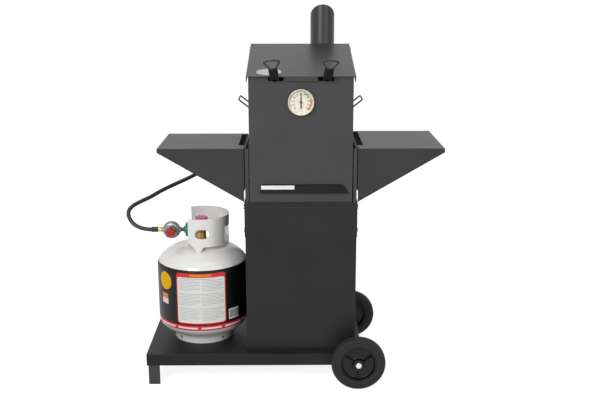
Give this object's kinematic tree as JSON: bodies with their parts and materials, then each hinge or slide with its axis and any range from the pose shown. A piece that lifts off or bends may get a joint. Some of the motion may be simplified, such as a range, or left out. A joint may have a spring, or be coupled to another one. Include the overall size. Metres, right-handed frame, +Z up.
{
  "type": "outdoor propane deep fryer",
  "caption": "Outdoor gas deep fryer on a wheeled cart: tall fryer body with sloping lid, two baskets, rear stack, folded side shelves and a gas cylinder with regulator and hose.",
  "frame": {"origin": "on the floor, at the centre of the box round the cart, without the free gas hose", "axes": "+X from the gas cylinder towards the wheels, +Y from the front towards the stack, +Z up"},
  "size_m": [1.0532, 0.538, 1.227],
  "materials": {
    "black_paint": "satin black high-heat paint",
    "zinc_steel": "zinc plated",
    "tyre_rubber": "matt black rubber",
    "rim_plastic": "black",
    "basket_wire": "plated wire",
    "handle_rod": "black coated",
    "grip": "ribbed black",
    "brass": "machined",
    "bezel": "warm metal",
    "dial": "cream face",
    "needle": "black",
    "lens": "clear",
    "white_paint": "gloss off-white",
    "magenta_plastic": "magenta",
    "green_plastic": "green",
    "cast_regulator": "die cast",
    "red_plastic": "red",
    "hose_rubber": "smooth black"
  },
  "bodies": {
    "cart": {"base_tray": "black_paint", "legs": "black_paint", "axle": "zinc_steel", "axle_spacers": "zinc_steel", "axle_caps": "zinc_steel", "skirt": "black_paint", "skirt_bolts": "zinc_steel", "left_bracket": "black_paint", "right_bracket": "black_paint", "left_shelf": "black_paint", "right_shelf": "black_paint", "left_shelf_plate": "black_paint", "right_shelf_plate": "black_paint", "bracket_bolts": "zinc_steel", "head_casing": "black_paint", "well_bottom": "black_paint", "tube_bend": "black_paint", "burner_leg": "black_paint", "flue_leg": "black_paint", "stack": "black_paint", "burner": "black_paint", "burner_orifice": "brass", "gas_elbow": "brass", "drain_pipe": "zinc_steel", "drain_valve": "brass", "drain_spout": "zinc_steel", "front_ledge": "black_paint", "left_lift_handle": "black_paint", "right_lift_handle": "black_paint", "hinge_bolts": "zinc_steel", "thermometer_case": "bezel", "thermometer_dial": "dial", "thermometer_lens": "lens", "thermometer_nut": "brass", "cylinder_shell": "white_paint", "cylinder_foot": "white_paint", "cylinder_collar": "white_paint", "cylinder_valve": "brass", "inlet_nipple": "rim_plastic", "regulator": "cast_regulator", "hose_fitting": "brass", "gas_hose": "hose_rubber"},
    "lid": {"lid": "black_paint"},
    "left_basket": {"left_basket": "basket_wire", "left_basket_rods": "handle_rod", "left_grip": "grip"},
    "right_basket": {"right_basket": "basket_wire", "right_basket_rods": "handle_rod", "right_grip": "grip"},
    "front_wheel": {"front_tyre": "tyre_rubber", "front_rim": "rim_plastic"},
    "rear_wheel": {"rear_tyre": "tyre_rubber", "rear_rim": "rim_plastic"},
    "needle": {"thermometer_needle": "needle"},
    "drain_lever": {"drain_lever": "red_plastic"},
    "handwheel": {"valve_handwheel": "magenta_plastic"},
    "coupling_nut": {"coupling_nut": "green_plastic"},
    "regulator_knob": {"regulator_knob": "red_plastic"}
  },
  "joints": [
    {"name": "lid_hinge", "type": "hinge", "parent": "cart", "child": "lid", "pos_m": [0.028, 0.15499, 1.07764], "axis": [-1, 0, 0], "range_deg": [0, 105]},
    {"name": "left_basket_lift", "type": "slide", "parent": "cart", "child": "left_basket", "axis": [0, 0, 1], "range_m": [0, 0.006]},
    {"name": "right_basket_lift", "type": "slide", "parent": "cart", "child": "right_basket", "axis": [0, 0, 1], "range_m": [0, 0.006]},
    {"name": "front_wheel_spin", "type": "hinge", "parent": "cart", "child": "front_wheel", "pos_m": [0.216, -0.24002, 0.0889], "axis": [0, 1, 0], "continuous": true},
    {"name": "rear_wheel_spin", "type": "hinge", "parent": "cart", "child": "rear_wheel", "pos_m": [0.216, 0.19898, 0.0889], "axis": [0, 1, 0], "continuous": true},
    {"name": "needle_turn", "type": "hinge", "parent": "cart", "child": "needle", "pos_m": [0.028, -0.18502, 0.939], "axis": [0, 1, 0], "range_deg": [-135, 135]},
    {"name": "drain_lever_turn", "type": "hinge", "parent": "cart", "child": "drain_lever", "pos_m": [0.028, 0.21499, 0.704], "axis": [0, 0, -1], "range_deg": [0, 90]},
    {"name": "handwheel_turn", "type": "hinge", "parent": "cart", "child": "handwheel", "pos_m": [-0.309, -0.02051, 0.513], "axis": [0, 0, 1], "range_deg": [0, 720]},
    {"name": "coupling_nut_turn", "type": "hinge", "parent": "cart", "child": "coupling_nut", "pos_m": [-0.356, -0.02051, 0.483], "axis": [-1, 0, 0], "range_deg": [0, 720]},
    {"name": "regulator_knob_turn", "type": "hinge", "parent": "cart", "child": "regulator_knob", "pos_m": [-0.411, -0.05051, 0.483], "axis": [0, -1, 0], "range_deg": [0, 1080]}
  ]
}
